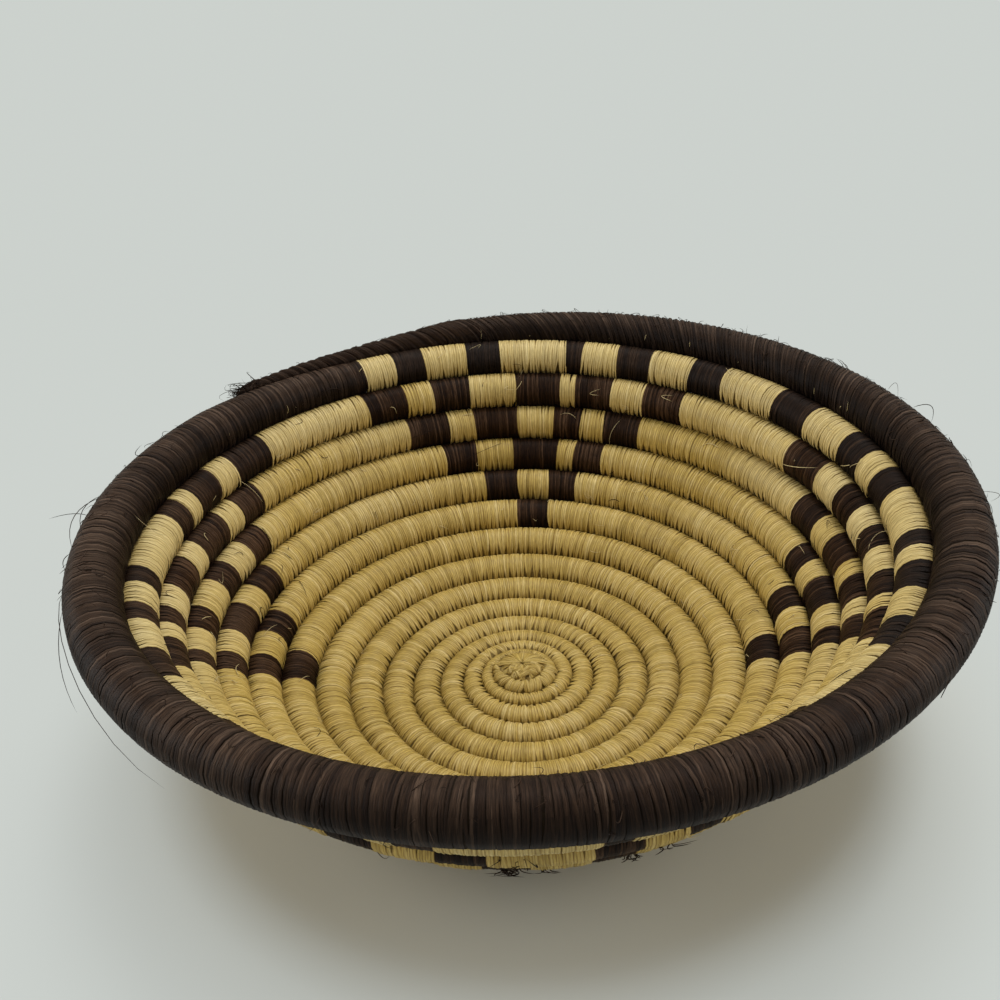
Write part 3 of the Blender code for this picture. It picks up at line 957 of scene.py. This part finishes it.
# The frayed end of the rim, and the loose fibres. Each dyed or natural one is given by places on the coil, one
# after the other: step, angle round the coil (0 outward, 90 inside the bowl) and millimetres over the strands.
loose = {
    # pieces: name, kind of fibre, finish, width, and how far its colour is turned to the finish's hue
    "pieces": [
        ("looseDyedFibres", "dyed", "rim", 0.00009, 0.0),
        ("rimTuft", "tuft", "rim", 0.00013, 0.0),
        ("looseNaturalFibres", "natural", "natural", 0.00009, 0.8),
    ],
    "tuftFibres": 170,
    "tuftSteps": (690.0, 690.45),
    "ropeTwists": 23,  # twists of the rope that the rim ends in, and strands in each
    "ropeStrands": 7,
    "ropeWidth": 0.00034,
    "ropeFrom": 684.6,
    "ropeLong": 5.6,
    "ropeRise": 0.0008,
    # stray fibres: how many, and in turn their kind, steps where they start, angles round the coil, how
    # far they reach in steps and how far they rise in millimetres
    "strays": [
        (150, [("dyed", (patternStart, rimStart), (40.0, 150.0), 0.3, 0.9)]
         + 2 * [("dyed", (rimStart, tailStart), (-50.0, 150.0), 0.25, 1.8)]),
        (190, [("dyed", (rimStart, tailEnd), (-35.0, 80.0), 0.12, (0.6, 2.2))]),
        (90, [("dyed", (674.0, tailEnd), (-30.0, 95.0), 0.14, (0.6, 2.4))]),
        (45, [("natural", (rimStart, tailStart), (148.0, 176.0), 0.05, 0.4)]),
        (110, [("natural", (first, rimStart), (40.0, 150.0), 0.35, 0.8) for first in (patternStart, 40)]),
        (160, [(kind, (first, rimStart), (225.0, 315.0), 0.3, 1.2)
               for kind, first in zip(3 * ["natural", "dyed"], 2 * [patternStart, 80, 80])]),
    ],
    # where frayed ends hang under the near side: step, angle and count
    "frayed": [(467.4, 266, 16), (468.1, 270, 6), (469.8, 268, 9), (470.5, 272, 5), (515.6, 288, 8)],
    "dyed": [
        (647.5, 12, 0, 648.4, 20, 2.6, 649.2, 36, 0), (647.6, 20, 0, 648.6, 12, 3.4, 649.6, 20, 0),
        (648.2, 10, 0, 648.3, 0, 4.0, 648.6, -6, 8.5), (650.8, 340, 0, 652.0, 325, 3.0, 653.2, 318, 5.0),
        (650.4, 350, 0, 651.8, 345, 2.0, 653.6, 330, 3.5, 655.4, 325, 6.0),
        (500.6, 60, 0, 500.7, 95, 0.6, 500.6, 126, 0.1), (404.8, 42, 0, 405.1, 80, 0.5, 405.3, 114, 0.1),
        (492.1, 48, 0, 493.0, 90, 0.9, 493.8, 126, 0), (674.4, 18, 0, 674.2, 30, 3.6, 673.8, 48, 0),
        (673.6, 20, 0, 673.3, 15, 3.8, 672.9, 24, 0.2), (672.9, 54, 0, 672.8, 45, 1.6, 672.6, 36, 0),
        (670.6, 12, 0, 670.4, 2, 3.5, 670.5, 348, 0.5), (670.6, 135, 0, 670.2, 138, 0.8, 669.7, 136, 0),
        (687.1, 70, 0, 687.2, 92, 5.0, 686.9, 100, 9.0), (677.8, 84, 0, 677.8, 86, 5.0, 677.7, 84, 9.5),
        (640.4, 140, 0, 640.8, 120, 1.2, 641.2, 142, 0), (542.9, 108, 0, 542.4, 95, 0.8, 542.0, 78, 0),
    ],
    "natural": [
        (647.9, 114, 0, 599.8, 60, 0.5, 599.3, 108, 0), (596.4, 132, 0, 548.2, 60, 0.6, 548.1, 114, 0),
        (552.6, 138, 0, 504.3, 40, 0.3, 503.7, 96, 0), (504.9, 60, 0, 504.8, 70, 0.5, 504.6, 90, 0),
        (504.8, 132, 0, 457.0, 20, 0.6, 457.3, 60, 0), (407.8, 50, 0, 407.5, 62, 0.7, 407.1, 80, 0),
        (361.4, 72, 0, 361.1, 95, 0.4, 360.9, 114, 0), (635.2, 114, 0, 587.5, 20, 0.7, 587.7, 90, 0),
        (587.5, 60, 0, 587.6, 85, 0.5, 587.8, 108, 0), (536.6, 54, 0, 536.8, 110, 0.9, 488.8, 42, 0),
        (579.4, 126, 0, 578.8, 100, 0.9, 578.2, 60, 0), (625.4, 138, 0, 625.2, 112, 0.8, 625.0, 84, 0),
        (574.8, 78, 0, 575.1, 40, 0.7, 622.5, 108, 0), (543.3, 132, 0, 495.0, 20, 0.4, 494.7, 50, 0),
    ],
}


def strayFibre(steps, angles, reach, rise):
    # a short fibre that starts in the stitches and wanders over them
    step, angle = uniform(*steps), uniform(*angles)
    way = uniform(-1.0, 1.0, 4)
    return [(step, angle, 0.0),
            (step + reach * way[0], angle + 28.0 * way[1], rise * uniform(0.1, 0.8)),
            (step + reach * (way[0] + way[2]), angle + 28.0 * (way[1] + way[3]),
             rise * uniform(0.0, 1.0))]


def tuftFibres():
    # the frayed ends under the near side, and the tuft at the rim's end, where every eighth fibre is long
    tuft = []
    for at, angle, count in loose["frayed"]:
        for index in range(count):
            step, turned = at + normal(0.0, 0.12), angle + normal(0.0, 10.0)
            far = uniform(0.2, 1.0)
            tuft.append([(step, turned, -0.4),
                         (step + normal(0.0, 0.08), turned + uniform(-15, 15), 0.8 * far),
                         (step + normal(0.0, 0.2), turned + uniform(-20, 30), 1.7 * far)])
    for index in range(loose["tuftFibres"]):
        farther, higher, highest = (1.0, 0.6, 0.6) if index % 8 else (2.0, 1.5, 1.6)
        step, angle = uniform(*loose["tuftSteps"]), uniform(0.0, 360.0)
        far = uniform(0.08, 0.45) * farther
        tuft.append([(step, angle, -1.0),
                     (step + 0.4 * far, uniform(0.0, 110.0), uniform(0.0, 1.6)),
                     (step + far, uniform(-10.0, 110.0), uniform(0.2, 3.6) * higher),
                     (step + far * uniform(0.7, 1.3), uniform(-20.0, 120.0),
                      uniform(0.0, 3.6) * highest)])
    return tuft


def layLooseFibres():
    fibres = {"dyed": list(loose["dyed"]), "natural": list(loose["natural"])}
    for count, ways in loose["strays"]:
        for index in range(count):
            kind, starts, angles, reach, rise = ways[index % len(ways)]
            rise = uniform(*rise) if isinstance(rise, tuple) else rise
            fibres[kind].append(strayFibre(starts, angles, reach, rise))
    fibres["tuft"] = tuftFibres()
    for name, kind, finish, width, hue in loose["pieces"]:
        laid = [coilFibre(fibre) for fibre in fibres[kind]]
        widths = width * uniform(0.6, 1.3, len(laid))
        layFibres(name, finish, laid, widths, "hair", hue=hue, tones=(0.0, 0.7))


def layRope():
    # the rim's last stretch is twisted like a rope, in bundles of strands wound over it askew
    laid = []
    for twist in range(loose["ropeTwists"]):
        step = twist + 0.5 + uniform(-0.16, 0.16)
        step = loose["ropeFrom"] + loose["ropeLong"] * step / loose["ropeTwists"]
        lean = 1.15 + normal(0.0, 0.08)
        start, end = uniform(-35.0, -10.0), uniform(190.0, 220.0)
        for index in range(loose["ropeStrands"]):
            side = (index - (loose["ropeStrands"] - 1) / 2.0) / loose["ropeStrands"]
            height = loose["ropeRise"] * (1.0 - 3.2 * side * side) * min(1.0, (twist + 1.0) / 4.0)
            height = height + uniform(-0.00005, 0.00005)
            angles = (start + uniform(-8.0, 8.0), end + uniform(-8.0, 8.0))
            laid.append(wrapFibre(step + side * 0.235, angles, lean, height))
    widths = loose["ropeWidth"] * uniform(0.7, 1.1, len(laid))
    layFibres("rimRopeTwists", "rim", laid, widths, "strip", tones=(0.0, 0.6))


layLooseFibres()
layRope()
print("loose fibres laid")
layKnotStrips("knotUnderStrips", (underStrips,), knot["underWidth"], -1.0)
print("knot's underside laid")


# Floor, light and camera
studio = {
    "floor": (0.575, 0.605, 0.575),
    "floorFinish": (0.7, 0.2),  # roughness and specular
    "floorHalf": 5.0,
    "floorLower": 0.0001,
    "backdrop": (0.605, 0.64, 0.61),  # what the camera sees round the bowl's shadow
    # metres from the middle, and the backdrop's share there: from just outside the rim it is painted light
    # that narrows the bowl's shadow
    "backdropStarts": [(0.104, 0.0), (0.122, 0.5), (0.16, 0.8), (0.30, 0.95), (0.50, 1.0)],
    "paintedShadowUnderBowl": (0.50, 0.484, 0.40),  # painted shadow: the floor's colour, darker and warmer close to the bowl
    "paintedShadowEnds": [0.10, 0.15],  # metres from the middle between which that ends
    "world": 0.30,
    "lights": [
        # name, place, power, size, colour
        ("topPanel", (0.3, 0.65, 2.0), 23.5, 1.0, (1.0, 0.99, 0.97)),
        ("leftPanel", (-0.9, -0.1, 0.42), 6.0, 0.7, white),
        ("rightPanel", (0.9, -0.1, 0.42), 4.9, 0.7, white),
    ],
    "lens": 38.28,
    "cameraPlace": (0.01049, -0.26394, 0.22773),
    "cameraForward": (-0.05657, 0.85651, -0.51301),
    "cameraUp": (0.02417, 0.51486, 0.85693),
}


def seenDirectly(tree):
    # 1 where the camera sees a thing, also in glass or gloss
    rays = addNode(tree, "LightPath")
    gloss = mathNode(tree, "MAXIMUM", rays["Is Glossy Ray"], rays["Is Transmission Ray"])
    return mathNode(tree, "MAXIMUM", rays["Is Camera Ray"], gloss)


def mixShaders(tree, factor, first, second, output):
    mixed = addNode(tree, "MixShader", {"Fac": factor, 1: first, 2: second})["Shader"]
    setInputs(tree, tree.nodes[output], {"Surface": mixed})


def floorMaterial():
    # the floor holds the bowl's shadow, and its colour is a painted shadow close to the bowl; further out the
    # camera sees it turn to the backdrop
    material, tree, shader = newMaterial("paleFloor", *studio["floorFinish"])
    spot = addNode(tree, "TexCoord")["Object"]
    far = addNode(tree, "VectorMath", {0: spot}, operation="LENGTH")["Value"]
    colour = ramp(tree, far, zip(studio["paintedShadowEnds"], (studio["paintedShadowUnderBowl"], studio["floor"])))
    setInputs(tree, shader, {"Base Color": colour})
    share = ramp(tree, far, [(at, (part,) * 3) for at, part in studio["backdropStarts"]])
    backdrop = addNode(tree, "Emission", {"Color": (*studio["backdrop"], 1.0)})["Emission"]
    seen = mathNode(tree, "MULTIPLY", seenDirectly(tree), share)
    mixShaders(tree, seen, shader.outputs["BSDF"], backdrop, "Material Output")
    return material


def layFloor():
    bm = bmesh.new()
    bmesh.ops.create_grid(bm, x_segments=1, y_segments=1, size=studio["floorHalf"])
    bmesh.ops.translate(bm, verts=bm.verts, vec=(0.0, 0.0, -studio["floorLower"]))
    mesh = meshFrom(bm, "floor")
    mesh.materials.append(floorMaterial())
    floor = addObject("floor", mesh)


def setWorld():
    world = bpy.data.worlds.new("studioWorld")
    world.use_nodes = True
    tree = world.node_tree
    lit = tree.nodes["Background"]
    setInputs(tree, lit, {"Color": (*white, 1.0), "Strength": studio["world"]})
    seen = addNode(tree, "Background", {"Color": (*studio["backdrop"], 1.0)})["Background"]
    mixShaders(tree, seenDirectly(tree), lit.outputs["Background"], seen, "World Output")
    bpy.context.scene.world = world


def hangLights():
    # each points at the middle of the foot
    for name, spot, power, size, colour in studio["lights"]:
        light = bpy.data.lights.new(name, "AREA")
        light.energy = power
        light.size = size
        light.color = colour
        lamp = addObject(name, light)
        lamp.location = spot
        lamp.rotation_euler = (-Vector(spot)).to_track_quat("-Z", "Y").to_euler()


def setCamera():
    camera = addObject("camera", bpy.data.cameras.new("camera"))
    camera.data.lens = studio["lens"]
    camera.data.sensor_width = 36.0
    camera.data.clip_start = 0.01
    back = -Vector(studio["cameraForward"]).normalized()
    right = Vector(studio["cameraUp"]).cross(back).normalized()
    turn = Matrix((right, back.cross(right), back)).transposed().to_4x4()
    camera.matrix_world = Matrix.Translation(studio["cameraPlace"]) @ turn
    bpy.context.scene.camera = camera


layFloor()
setWorld()
hangLights()
setCamera()
bpy.context.scene.view_settings.view_transform = "Standard"
print("floor, light and camera set")
